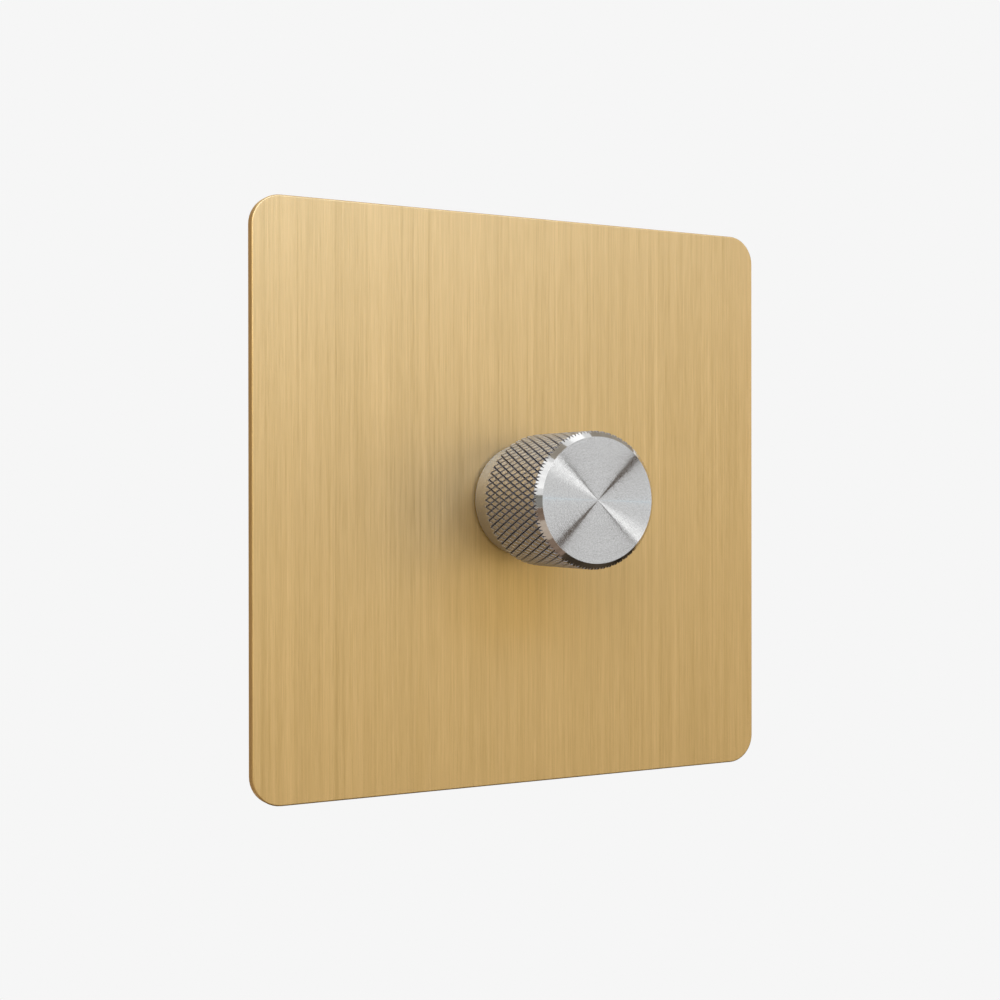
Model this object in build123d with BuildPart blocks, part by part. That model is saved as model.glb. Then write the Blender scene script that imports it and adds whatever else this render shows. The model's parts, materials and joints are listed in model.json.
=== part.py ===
from build123d import *
import os
from math import ceil, cos, radians, sin, sqrt

# A rotary dimmer switch for a single wall box: a screwless brass plate, a knurled steel knob that turns
# and pushes, and behind them the yoke, the rotary control and the dimmer module.
# X points right, Z up and Y into the wall. The wall's surface is y = 0 and the origin lies midway
# between the two fixing slots. A "reach" is a distance in front of the wall, so it is minus y.

# Front plate
plate_width = 90.0
plate_thickness = 1.6
plate_corner_radius = 4.5
plate_edge_radius = 0.25
plate_standoff = 4.6
plate_clearance = 0.6

# Knob
neck_radius = 8.86
neck_length = 5.5
knob_gap = 0.6
drum_radius = 10.2
drum_length = 16.74
drum_chamfer_length = 1.0
drum_chamfer_depth = 0.9
drum_back_chamfer = 0.35
knurl_starts = 60
knurl_depth = 0.34
knurl_diamond_length = 2.9
knurl_lead = 0.75
knurl_land_share = 0.72
knob_socket_radius = 6.2
knob_socket_depth = 3.1
knob_bore_depth = 15.6
knob_bore_clearance = 0.02
grub_radius = 1.5
grub_length = 6.0
grub_chamfer = 0.3
grub_inset = 1.6
grub_key_width = 1.5
grub_key_depth = 2.0

# Clip frame
frame_inset = 4.0
frame_corner_radius = 3.5
frame_wall = 1.8
frame_lip_width = 6.0
frame_web_thickness = 0.8
frame_ring_radius = 13.0
frame_ring_width = 3.0
frame_rib_width = 3.0
hook_spacing = 40.0
hook_width = 7.0
hook_height = 1.0
hook_bite = 0.9

# Mounting yoke
yoke_side_gap = 0.7
yoke_thickness = 1.2
yoke_bend_radius = 0.8
yoke_flange = 3.6
yoke_gap = 1.2
window_clearance = 0.4
window_front = 2.8
fixing_spacing = 60.3
fixing_slot_length = 7.0
fixing_slot_width = 4.0
yoke_hole_radius = 2.5
yoke_hole_inset_x = 7.5
yoke_hole_inset_z = 10.0

# Bush, nut and washer
bush_radius = 5.0
bush_front = 2.0
bush_chamfer = 0.5
bush_flange_radius = 7.0
bush_flange_thickness = 1.2
bush_spigot_radius = 4.0
bush_clearance = 0.1
nut_across_flats = 14.0
nut_thickness = 2.2
nut_bevel = 0.66
nut_clearance = 0.05
washer_radius = 8.0
washer_thickness = 0.5
washer_tooth_depth = 0.9
washer_teeth = 12

# Spindle and its retaining clip
shaft_radius = 3.0
shaft_flat = 1.5
shaft_clearance = 0.05
shaft_tail = 1.5
shaft_chamfer = 0.4
shaft_run_in = 0.2
clip_radius = 4.4
clip_groove_radius = 2.3
clip_thickness = 0.6
clip_mouth = 3.2
clip_play = 0.05
push_travel = 0.5

# Rotary control
control_width = 18.0
control_corner_radius = 2.0
control_wall = 1.2
control_cavity_radius = 7.7
control_cavity_depth = 4.6
rotor_radius = 7.4
rotor_hub_radius = 4.4
rotor_thickness = 2.0
rotor_disc_thickness = 1.4
rotor_play = 0.1
wiper_thickness = 0.2
wiper_width = 1.3
finger_length = 2.4
finger_width = 0.9
finger_tip = 0.4
wafer_gap = 1.3
wafer_thickness = 1.0
wafer_hole_radius = 5.0
track_thickness = 0.1
track_width = 1.6
track_edge = 0.4
track_sweep = 290.0

# Push switch
plunger_radius = 4.2
plunger_head = 1.2
plunger_stem_radius = 1.5
plunger_stem_length = 2.4
plunger_chamfer = 0.3
bridge_length = 8.2
bridge_width = 2.0
bridge_thickness = 0.2
bridge_ring_width = 0.4
contact_clearance = 0.1
contact_spacing = 7.2
contact_width = 1.6
contact_thickness = 0.6
contact_tail = 0.8
base_cup_radius = 5.2
base_cup_depth = 2.2
base_floor = 1.0
spring_wire_thickness = 0.4
spring_radius = 2.4
spring_turns = 2.5

# Module case
heat_width = 46.0
heat_height = 50.0
heat_thickness = 2.0
case_corner_radius = 3.0
case_depth = 23.8
case_wall = 1.6
case_rear_radius = 1.2
case_screw_inset = 3.6
case_screw_radius = 1.25
case_screw_head_radius = 2.5
case_screw_length = 9.0
boss_radius = 2.6
ledge_width = 4.0
ledge_depth = 1.2
ledge_spacing = 16.0
vent_width = 1.4
vent_length = 9.0
vent_spacing = 3.6
vent_count = 4

# Circuit board and what it carries
board_thickness = 1.6
board_clearance = 0.25
pin_clearance = 0.1
chip_length = 6.0
chip_width = 5.0
chip_height = 1.6
chip_bevel = 0.25
chip_inset_x = 8.0
chip_inset_z = 9.0
choke_core_radius = 7.0
choke_core_bore = 3.5
choke_core_height = 5.0
choke_wire_thickness = 0.8
choke_turns = 18
choke_sleeve_thickness = 0.2
choke_turn_radius = 0.6
choke_inset_x = 10.2
choke_z = 8.0
film_length = 13.0
film_width = 6.0
film_headroom = 1.8
film_corner_radius = 0.8
film_edge_radius = 0.6
film_inset_x = 12.2
film_inset_z = 6.2
smoothing_radius = 4.0
smoothing_headroom = 1.0
smoothing_edge_radius = 0.5
smoothing_groove_offset = 1.6
smoothing_groove_width = 0.8
smoothing_groove_depth = 0.25
smoothing_inset_x = 11.7
smoothing_z = 5.5
fuse_radius = 2.6
fuse_length = 14.0
fuse_cap_length = 3.0
fuse_cap_step = 0.2
fuse_z = -8.0

# Power transistors
transistor_gap = 0.8
transistor_height = 9.0
transistor_body = 4.4
transistor_tab_height = 6.4
transistor_tab_thickness = 1.3
transistor_hole_radius = 1.8
transistor_base = -3.0
leg_spacing = 2.54
leg_width = 0.8
leg_thickness = 0.5
leg_drop = 3.0
leg_tail = 0.8
pad_thickness = 0.3
pad_margin = 0.4
transistor_screw_radius = 1.5
transistor_screw_head_radius = 2.7
transistor_screw_head_height = 1.6

# Terminals
terminal_spacing = 11.0
terminal_count = 3
block_inset = 5.0
block_height = 11.0
block_recess = 0.8
block_edge_radius = 0.6
block_wall = 1.5
block_rear = 3.2
clamp_width = 7.0
clamp_height = 7.5
clamp_pin_radius = 0.6
clamp_pin_length = 2.1
wire_radius = 1.8
wire_entry_radius = 2.0
wire_depth = 3.2
screw_radius = 1.5
screw_clearance = 0.05
screw_head_radius = 2.4
screw_head_height = 2.0
screw_length = 2.8
screw_access = 0.2
slot_width = 0.8
slot_depth = 0.9
earth_width = 8.0
earth_depth = 9.0
earth_gap = 3.0
earth_inset_z = 20.0
earth_spigot_radius = 1.5

# Widths and heights that follow from the plate and the module
frame_width = plate_width - 2 * frame_inset
frame_inside = frame_width - 2 * frame_wall
frame_opening = frame_width - 2 * frame_lip_width
yoke_width = frame_inside - 2 * yoke_side_gap
yoke_height = frame_inside - 2 * yoke_gap
case_inside = heat_width - 2 * case_wall
board_width = case_inside - 2 * board_clearance
board_height = heat_height - 2 * case_wall - 2 * board_clearance
case_screw_spacing_x = heat_width - 2 * case_screw_inset
case_screw_spacing_z = heat_height - 2 * case_screw_inset
bay_width = (case_inside - control_width) / 2
pad_width = bay_width - 2 * transistor_gap
transistor_width = pad_width - 2 * pad_margin
transistor_spacing = control_width + bay_width
block_width = heat_width - 2 * block_inset

# Where each layer of the stack stands, as a reach in front of the wall
plate_front = plate_standoff + plate_thickness
knob_back = plate_front + knob_gap
drum_back = knob_back + neck_length
drum_front = drum_back + drum_length
socket_floor = knob_back + knob_socket_depth
bore_floor = socket_floor + knob_bore_depth
bush_end = plate_front + bush_front
nut_back = yoke_thickness + washer_thickness
control_front = -heat_thickness - bush_flange_thickness
rotor_front = control_front - control_wall - rotor_play
rotor_back = rotor_front - rotor_thickness
wafer_front = rotor_back - wafer_gap
base_front = control_front - control_wall - control_cavity_depth
cup_floor = base_front - base_cup_depth
board_front = cup_floor - base_floor
board_back = board_front - board_thickness
clip_front = rotor_back - clip_play
clip_back = clip_front - clip_thickness
shaft_end = rotor_back - shaft_tail
plunger_back = shaft_end - plunger_head
bridge_back = plunger_back - bridge_thickness
case_back = -heat_thickness - case_depth
wire_reach = board_back - wire_depth
block_back = case_back + block_recess
clamp_back = block_back + block_rear
contact_front = bridge_back - push_travel - contact_clearance
board_headroom = board_back - case_back - case_wall
film_height = board_headroom - film_headroom
smoothing_height = board_headroom - smoothing_headroom

# Where the pieces of the module and the terminals stand across the wall
screw_xs = [terminal_spacing * (i - (terminal_count - 1) / 2) for i in range(terminal_count)]
transistor_xs = [-transistor_spacing / 2, transistor_spacing / 2]
contact_xs = [-contact_spacing / 2, contact_spacing / 2]
leg_z = transistor_base - leg_drop
choke_x = choke_inset_x - board_width / 2
film_x = board_width / 2 - film_inset_x
film_z = board_height / 2 - film_inset_z
smoothing_x = board_width / 2 - smoothing_inset_x
chip_x = chip_inset_x - board_width / 2
chip_z = chip_inset_z - board_height / 2
earth_x = -(heat_width / 2 + earth_gap + earth_width / 2)
earth_z = yoke_height / 2 - earth_inset_z
block_bottom = -heat_height / 2
block_z = block_bottom + block_height / 2
clamp_z = block_bottom + block_wall + clamp_height / 2

os.makedirs("parts", exist_ok=True)


def facing(reach):
    """A plane that faces the room, with X to the right and Z up, at this reach."""
    return Plane.XZ.offset(reach)


def finish(piece, name):
    """Name a finished piece and write it."""
    piece.part.label = name
    export_step(piece.part, f"parts/{name}.step")


# Front plate: brushed sheet with rounded corners, eased front edges and a hole for the bush.
with BuildPart() as front_plate:
    with BuildSketch(facing(plate_standoff)):
        RectangleRounded(plate_width, plate_width, plate_corner_radius)
        Circle(bush_radius + plate_clearance, mode=Mode.SUBTRACT)
    extrude(amount=plate_thickness)
    rim = front_plate.faces().sort_by(Axis.Y)[0].outer_wire()
    fillet(rim.edges(), plate_edge_radius)
finish(front_plate, "front_plate")

# Clip frame: a moulded wall with a bonding lip, a ring round the nut and diagonal ribs, and four
# hooks inside its top and bottom walls that snap into the yoke's windows.
frame_ring_bore = frame_ring_radius - frame_ring_width
frame_rib_length = sqrt(2) * frame_opening
with BuildPart() as clip_frame:
    with BuildSketch(facing(0)):
        RectangleRounded(frame_width, frame_width, frame_corner_radius)
        RectangleRounded(frame_inside, frame_inside, frame_corner_radius - frame_wall, mode=Mode.SUBTRACT)
    extrude(amount=plate_standoff)
    with BuildSketch(facing(plate_standoff - frame_web_thickness)):
        RectangleRounded(frame_width, frame_width, frame_corner_radius)
        RectangleRounded(frame_opening, frame_opening, frame_corner_radius, mode=Mode.SUBTRACT)
        Circle(frame_ring_radius)
        for rib_angle in (45, 135):
            Rectangle(frame_rib_length, frame_rib_width, rotation=rib_angle)
        Circle(frame_ring_bore, mode=Mode.SUBTRACT)
    extrude(amount=frame_web_thickness)
    for hook_x in (-hook_spacing / 2, hook_spacing / 2):
        for side in (1, -1):
            with BuildSketch(Plane.YZ.offset(hook_x)):
                hook_root = side * frame_inside / 2
                hook_tip = side * (frame_inside / 2 - yoke_gap - hook_bite)
                with BuildLine():
                    Polyline(
                        (-window_front, side * (frame_inside + frame_wall) / 2),
                        (-window_front, hook_tip),
                        (-window_front + hook_height / 3, hook_tip),
                        (-window_front + hook_height, hook_root),
                        (-window_front + hook_height, side * (frame_inside + frame_wall) / 2),
                        close=True,
                    )
                make_face()
            extrude(amount=hook_width / 2, both=True)
finish(clip_frame, "clip_frame")

# Mounting yoke: sheet steel with its top and bottom edges folded towards the room. It has the two
# fixing slots, the bush hole, four round clearance holes and the windows that the hooks snap into.
window_width = hook_width + 2 * window_clearance
window_height = hook_height + window_clearance
with BuildPart() as mounting_yoke:
    with BuildSketch(Plane.YZ.offset(-yoke_width / 2)) as channel:
        with Locations((-yoke_flange / 2, 0)):
            Rectangle(yoke_flange, yoke_height)
        with Locations((-yoke_thickness - yoke_flange / 2, 0)):
            Rectangle(yoke_flange, yoke_height - 2 * yoke_thickness, mode=Mode.SUBTRACT)
        fillet(channel.vertices().group_by(Axis.X)[-2], yoke_bend_radius)
        fillet(channel.vertices().group_by(Axis.X)[-1], yoke_thickness + yoke_bend_radius)
    extrude(amount=yoke_width)
    with BuildSketch(facing(0)):
        with GridLocations(fixing_spacing, 1, 2, 1):
            SlotOverall(fixing_slot_length, fixing_slot_width)
        with GridLocations(yoke_width - 2 * yoke_hole_inset_x, yoke_height - 2 * yoke_hole_inset_z, 2, 2):
            Circle(yoke_hole_radius)
        with Locations((earth_x, earth_z)):
            Circle(earth_spigot_radius)
        Circle(bush_radius + bush_clearance)
    extrude(amount=yoke_flange, mode=Mode.SUBTRACT)
    with BuildSketch(Plane.XY):
        with Locations((0, -window_front + window_height / 2)):
            with GridLocations(hook_spacing, 1, 2, 1):
                Rectangle(window_width, window_height)
    extrude(amount=plate_width / 2, both=True, mode=Mode.SUBTRACT)
finish(mounting_yoke, "mounting_yoke")

# Mounting bush: turned brass, threaded outside, bored for the spindle and staked into the control.
with BuildPart() as mounting_bush:
    with BuildSketch(facing(-heat_thickness)):
        Circle(bush_radius)
    extrude(amount=bush_end + heat_thickness)
    chamfer(mounting_bush.edges().sort_by(Axis.Y)[0], bush_chamfer)
    with BuildSketch(facing(-heat_thickness)):
        Circle(bush_flange_radius)
    extrude(amount=-bush_flange_thickness)
    with BuildSketch(facing(control_front)):
        Circle(bush_spigot_radius)
    extrude(amount=-control_wall)
    with BuildSketch(facing(bush_end)):
        Circle(shaft_radius + shaft_clearance)
    extrude(amount=-(bush_end - control_front + control_wall), mode=Mode.SUBTRACT)
finish(mounting_bush, "mounting_bush")

# Bush nut: a thin hexagon with its corners turned off.
nut_corner = nut_across_flats / 2 / cos(radians(30))
with BuildPart() as bush_nut:
    with BuildSketch(facing(nut_back)):
        RegularPolygon(nut_across_flats / 2, 6, major_radius=False)
    extrude(amount=nut_thickness)
    with BuildSketch(Plane.YZ):
        with BuildLine():
            Polyline(
                (-nut_back, 0),
                (-nut_back, nut_corner),
                (-nut_back - nut_thickness + nut_bevel, nut_corner),
                (-nut_back - nut_thickness, nut_across_flats / 2),
                (-nut_back - nut_thickness, 0),
                close=True,
            )
        make_face()
    revolve(axis=Axis.Y, mode=Mode.INTERSECT)
    with BuildSketch(facing(nut_back)):
        Circle(bush_radius + nut_clearance)
    extrude(amount=nut_thickness, mode=Mode.SUBTRACT)
finish(bush_nut, "bush_nut")

# Lock washer: a ring with inward teeth.
with BuildPart() as lock_washer:
    with BuildSketch(facing(yoke_thickness)):
        Circle(washer_radius)
        Circle(bush_radius + nut_clearance, mode=Mode.SUBTRACT)
        with PolarLocations(bush_radius + washer_tooth_depth / 2, washer_teeth):
            Rectangle(2 * washer_tooth_depth, washer_tooth_depth, mode=Mode.SUBTRACT)
    extrude(amount=washer_thickness)
finish(lock_washer, "lock_washer")


def on_drum(angle, radius, reach):
    """A point round the knob's axis, its angle in degrees from straight up."""
    return Vector(radius * sin(radians(angle)), -reach, radius * cos(radians(angle)))


def flat_face(*corners):
    """A flat face with these corners."""
    return Face(Wire.make_polygon(corners, close=True))


# Knurl: two sets of V grooves, one of each hand, cross the drum and leave rows of long diamonds. Each
# diamond is a flat land with four sloping flanks that meet its neighbours' along the groove bottoms.
half_pitch = 180 / knurl_starts
half_diamond = knurl_diamond_length / 2
root_radius = drum_radius - knurl_depth
# A flank stays flat when the land's side corner stands this far out of the middle of the land.
root_sag = root_radius * (1 - cos(radians(half_pitch))) / knurl_depth
land_side_share = knurl_land_share / (1 + (1 - knurl_land_share) * root_sag)
land_half_width = land_side_share * root_radius * sin(radians(half_pitch))
land_half_length = knurl_land_share * half_diamond


def diamond(angle, reach):
    """The land and the four flanks of one diamond of the knurl."""
    roots = [
        on_drum(angle, root_radius, reach + half_diamond),
        on_drum(angle + half_pitch, root_radius, reach),
        on_drum(angle, root_radius, reach - half_diamond),
        on_drum(angle - half_pitch, root_radius, reach),
    ]
    middle = on_drum(angle, drum_radius, reach)
    along = Vector(0, -land_half_length, 0)
    across = on_drum(angle + 90, land_half_width, 0)
    land = [middle + along, middle + across, middle - along, middle - across]
    flanks = [flat_face(roots[i - 1], roots[i], land[i], land[i - 1]) for i in range(4)]
    return [flat_face(*land), *flanks]


def knurled_bar(start, end, tail):
    """A closed bar knurled from start to end, with a long cone behind and a short one in front."""
    rows = ceil((end - start) / half_diamond) + 1
    skin = []
    for row in range(rows):
        reach = start + row * half_diamond
        for tooth in range(knurl_starts):
            skin.extend(diamond((2 * tooth + row % 2) * half_pitch, reach))
    for row, way, length in ((0, -1, tail), (rows - 1, 1, half_diamond)):
        reach = start + row * half_diamond
        point = Vector(0, -reach - way * length, 0)
        for tooth in range(knurl_starts):
            angle = (2 * tooth + row % 2) * half_pitch
            tip = on_drum(angle, root_radius, reach + way * half_diamond)
            for side in (-1, 1):
                skin.append(flat_face(point, tip, on_drum(angle + side * half_pitch, root_radius, reach)))
    return Solid(Shell(skin))


# Knob: turned from one bar, with a smooth neck, the knurled drum, a polished chamfer and a flat face.
# Its neck is bored out to clear the bush, then bored for the spindle and tapped for the grub screw.
# The knurled bar's long cone clears the neck, so one cut knurls the finished blank.
grub_reach = socket_floor + grub_inset
cone_length = neck_length * drum_radius / (root_radius - neck_radius) * 2
with BuildPart() as knob:
    with BuildSketch(Plane.YZ):
        with BuildLine():
            Polyline(
                (-knob_back, knob_socket_radius),
                (-knob_back, neck_radius),
                (-drum_back, neck_radius),
                (-drum_back, drum_radius - drum_back_chamfer),
                (-drum_back - 2 * drum_back_chamfer, drum_radius + drum_back_chamfer),
                (-drum_front + 2 * drum_chamfer_length, drum_radius + drum_chamfer_depth),
                (-drum_front, drum_radius - drum_chamfer_depth),
                (-drum_front, 0),
                (-bore_floor, 0),
                (-bore_floor, shaft_radius + knob_bore_clearance),
                (-socket_floor, shaft_radius + knob_bore_clearance),
                (-socket_floor, knob_socket_radius),
                close=True,
            )
        make_face()
    revolve(axis=Axis.Y)
    with BuildSketch(Plane.XY):
        with Locations((0, -grub_reach)):
            Circle(grub_radius)
    extrude(amount=-drum_radius, mode=Mode.SUBTRACT)
    add(knurled_bar(drum_back - knurl_lead, drum_front, cone_length), mode=Mode.INTERSECT, clean=False)
finish(knob, "knob")

# Grub screw: a headless screw with a hexagon socket, its tip against the spindle's flat.
with BuildPart() as grub_screw:
    with BuildSketch(Plane.XY.offset(-shaft_flat)):
        with Locations((0, -grub_reach)):
            Circle(grub_radius)
    extrude(amount=-grub_length)
    chamfer(grub_screw.edges().filter_by(GeomType.CIRCLE), grub_chamfer)
    with BuildSketch(Plane.XY.offset(-shaft_flat - grub_length)):
        with Locations((0, -grub_reach)):
            RegularPolygon(grub_key_width / 2, 6, major_radius=False)
    extrude(amount=grub_key_depth, mode=Mode.SUBTRACT)
finish(grub_screw, "grub_screw")

# Control shaft: a spindle with a D flat at both ends and a groove for its clip.
flat_depth = shaft_radius - shaft_flat
flat_z = -shaft_flat - flat_depth / 2
with BuildPart() as control_shaft:
    with BuildSketch(facing(shaft_end)):
        Circle(shaft_radius)
    extrude(amount=bore_floor - shaft_end)
    chamfer(control_shaft.edges().sort_by(Axis.Y)[0], shaft_chamfer)
    with BuildSketch(facing(socket_floor)):
        with Locations((0, flat_z)):
            Rectangle(2 * shaft_radius, flat_depth)
    extrude(amount=knob_bore_depth, mode=Mode.SUBTRACT)
    with BuildSketch(facing(shaft_end)):
        with Locations((0, flat_z)):
            Rectangle(2 * shaft_radius, flat_depth)
    extrude(amount=rotor_front + push_travel + shaft_run_in - shaft_end, mode=Mode.SUBTRACT)
    with BuildSketch(facing(clip_back)):
        Circle(shaft_radius)
        Circle(clip_groove_radius, mode=Mode.SUBTRACT)
    extrude(amount=clip_thickness, mode=Mode.SUBTRACT)
finish(control_shaft, "control_shaft")

# Shaft clip: an open ring sprung into the spindle's groove behind the rotor.
with BuildPart() as shaft_clip:
    with BuildSketch(facing(clip_back)):
        Circle(clip_radius)
        Circle(clip_groove_radius, mode=Mode.SUBTRACT)
        with Locations((0, clip_radius / 2)):
            Rectangle(clip_mouth, clip_radius, mode=Mode.SUBTRACT)
    extrude(amount=clip_thickness)
finish(shaft_clip, "shaft_clip")

# Control housing: a square moulding with a round cavity for the rotor and the wafer.
with BuildPart() as control_housing:
    with BuildSketch(facing(control_front)):
        RectangleRounded(control_width, control_width, control_corner_radius)
        Circle(bush_spigot_radius, mode=Mode.SUBTRACT)
    extrude(amount=-control_wall)
    with BuildSketch(facing(control_front - control_wall)):
        RectangleRounded(control_width, control_width, control_corner_radius)
        Circle(control_cavity_radius, mode=Mode.SUBTRACT)
    extrude(amount=-control_cavity_depth)
finish(control_housing, "control_housing")

# Wiper rotor: a disc with a raised hub and a D bore, turned by the spindle, which slides through it.
with BuildPart() as wiper_rotor:
    with BuildSketch(facing(rotor_front)):
        Circle(rotor_hub_radius)
    extrude(amount=-rotor_thickness)
    with BuildSketch(facing(rotor_back)):
        Circle(rotor_radius)
    extrude(amount=rotor_disc_thickness)
    with BuildSketch(facing(rotor_front)):
        Circle(shaft_radius + shaft_clearance)
        with Locations((0, -shaft_flat - shaft_clearance - shaft_radius)):
            Rectangle(4 * shaft_radius, 2 * shaft_radius, mode=Mode.SUBTRACT)
    extrude(amount=-rotor_thickness, mode=Mode.SUBTRACT)
finish(wiper_rotor, "wiper_rotor")

# Wiper contact: a spring ring under the rotor with two fingers bent down towards the track.
track_radius = control_cavity_radius - track_edge - track_width / 2
finger_drop = wafer_gap - track_thickness - rotor_play
with BuildPart() as wiper_contact:
    with BuildSketch(facing(rotor_back)):
        Circle(track_radius + wiper_width / 2)
        Circle(track_radius - wiper_width / 2, mode=Mode.SUBTRACT)
    extrude(amount=-wiper_thickness)
    for side in (-1, 1):
        with BuildSketch(Plane.YZ.offset(side * track_radius)):
            with BuildLine():
                Polyline(
                    (-rotor_back, 0),
                    (-rotor_back + finger_drop, finger_length),
                    (-rotor_back + finger_drop, finger_length - finger_tip),
                    (-rotor_back + wiper_thickness, -finger_tip),
                    (-rotor_back, -finger_tip),
                    close=True,
                )
            make_face()
        extrude(amount=finger_width / 2, both=True)
finish(wiper_contact, "wiper_contact")

# Track wafer: an insulating disc across the cavity, with a hole that the plunger passes through.
with BuildPart() as track_wafer:
    with BuildSketch(facing(wafer_front)):
        Circle(control_cavity_radius)
        Circle(wafer_hole_radius, mode=Mode.SUBTRACT)
    extrude(amount=-wafer_thickness)
finish(track_wafer, "track_wafer")

# Resistive track: the carbon arc printed on the wafer.
with BuildPart() as resistive_track:
    with BuildSketch(facing(wafer_front)):
        with BuildLine():
            CenterArc((0, 0), track_radius, 90 - track_sweep / 2, track_sweep)
        trace(line_width=track_width)
    extrude(amount=track_thickness)
finish(resistive_track, "resistive_track")

# Push plunger: a nylon button behind the spindle, its stem guided by the base.
with BuildPart() as push_plunger:
    with BuildSketch(facing(shaft_end)):
        Circle(plunger_radius)
    extrude(amount=-plunger_head)
    chamfer(push_plunger.edges().sort_by(Axis.Y)[0], plunger_chamfer)
    with BuildSketch(facing(plunger_back)):
        Circle(plunger_stem_radius)
    extrude(amount=-plunger_stem_length)
finish(push_plunger, "push_plunger")

# Contact bridge: the moving contact, a strip carried behind the plunger's head.
with BuildPart() as contact_bridge:
    with BuildSketch(facing(plunger_back)):
        SlotOverall(bridge_length, bridge_width)
        Circle(plunger_stem_radius + bridge_ring_width)
        Circle(plunger_stem_radius, mode=Mode.SUBTRACT)
    extrude(amount=-bridge_thickness)
finish(contact_bridge, "contact_bridge")

# Control base: the rear moulding with a cup for the spring and a guide hole for the stem.
with BuildPart() as control_base:
    with BuildSketch(facing(base_front)):
        RectangleRounded(control_width, control_width, control_corner_radius)
    extrude(amount=-(base_cup_depth + base_floor))
    with BuildSketch(facing(base_front)):
        Circle(base_cup_radius)
    extrude(amount=-base_cup_depth, mode=Mode.SUBTRACT)
    with BuildSketch(facing(cup_floor)):
        Circle(plunger_stem_radius + shaft_clearance)
        for contact_x in contact_xs:
            with Locations((contact_x, 0)):
                Rectangle(contact_thickness, contact_width)
    extrude(amount=-base_floor, mode=Mode.SUBTRACT)
finish(control_base, "control_base")

# Fixed contacts: two posts that stand in the cup and are soldered through the board.
with BuildPart() as fixed_contacts:
    for contact_x in contact_xs:
        with BuildSketch(facing(contact_front)):
            with Locations((contact_x, 0)):
                Rectangle(contact_thickness, contact_width)
        extrude(amount=board_back - contact_tail - contact_front)
finish(fixed_contacts, "fixed_contacts")

# Return spring: a short coil between the contact bridge and the floor of the cup.
spring_height = bridge_back - cup_floor - spring_wire_thickness
spring_base = facing(cup_floor + spring_wire_thickness / 2)
spring_path = spring_base * Helix(spring_height / spring_turns, spring_height, spring_radius)
with BuildPart() as return_spring:
    with BuildSketch(Plane(origin=spring_path @ 0, z_dir=spring_path % 0)):
        Circle(spring_wire_thickness / 2)
    sweep(path=spring_path)
finish(return_spring, "return_spring")

# Heat plate: the aluminium front of the module, countersunk for the case screws and tapped for the
# transistors' screws.
transistor_hole_z = transistor_base + transistor_height + transistor_tab_height / 2
case_screw_grid = GridLocations(case_screw_spacing_x, case_screw_spacing_z, 2, 2)
with BuildPart(facing(0)) as heat_plate:
    with BuildSketch(facing(0)):
        RectangleRounded(heat_width, heat_height, case_corner_radius)
    extrude(amount=-heat_thickness)
    Hole(bush_radius + bush_clearance)
    with case_screw_grid:
        CounterSinkHole(case_screw_radius, case_screw_head_radius)
    with Locations(*[(x, transistor_hole_z) for x in transistor_xs]):
        Hole(transistor_screw_radius)
finish(heat_plate, "heat_plate")

# Case screws: countersunk screws through the heat plate into the cover's bosses.
with BuildPart() as case_screws:
    with BuildSketch(facing(0)):
        with case_screw_grid:
            Circle(case_screw_head_radius)
    extrude(amount=case_screw_radius - case_screw_head_radius, taper=45)
    with BuildSketch(facing(0)):
        with case_screw_grid:
            Circle(case_screw_radius)
    extrude(amount=-case_screw_length)
    with BuildSketch(facing(0)):
        with case_screw_grid:
            Rectangle(2 * case_screw_radius, slot_width)
            Rectangle(slot_width, 2 * case_screw_radius)
    extrude(amount=-slot_depth, mode=Mode.SUBTRACT)
finish(case_screws, "case_screws")

# Rear cover: a moulded box with screw bosses, ledges for the board, vents and a notch for the
# terminal block.
with BuildPart() as rear_cover:
    with BuildSketch(facing(-heat_thickness)):
        RectangleRounded(heat_width, heat_height, case_corner_radius)
    extrude(amount=-case_depth)
    fillet(rear_cover.faces().sort_by(Axis.Y)[-1].edges(), case_rear_radius)
    offset(amount=-case_wall, openings=rear_cover.faces().sort_by(Axis.Y)[0])
    with BuildSketch(facing(-heat_thickness)):
        with case_screw_grid:
            Circle(boss_radius)
    extrude(amount=-(case_depth - case_wall / 2))
    with BuildSketch(facing(board_back)):
        with GridLocations(case_inside - ledge_depth, ledge_spacing, 2, 2):
            Rectangle(ledge_depth, ledge_width)
    extrude(amount=-(board_back - case_back - case_wall / 2))
    with BuildSketch(facing(-heat_thickness)):
        with case_screw_grid:
            Circle(case_screw_radius)
    extrude(amount=-case_screw_length, mode=Mode.SUBTRACT)
    with BuildSketch(facing(board_back)):
        with Locations((0, block_z)):
            Rectangle(block_width, block_height)
    extrude(amount=-case_depth, mode=Mode.SUBTRACT)
    with BuildSketch(facing(case_back)):
        with Locations((0, heat_height / 4)):
            with GridLocations(vent_spacing, 1, vent_count, 1):
                SlotOverall(vent_length, vent_width, rotation=90)
    extrude(amount=2 * case_wall, mode=Mode.SUBTRACT)
finish(rear_cover, "rear_cover")

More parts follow.
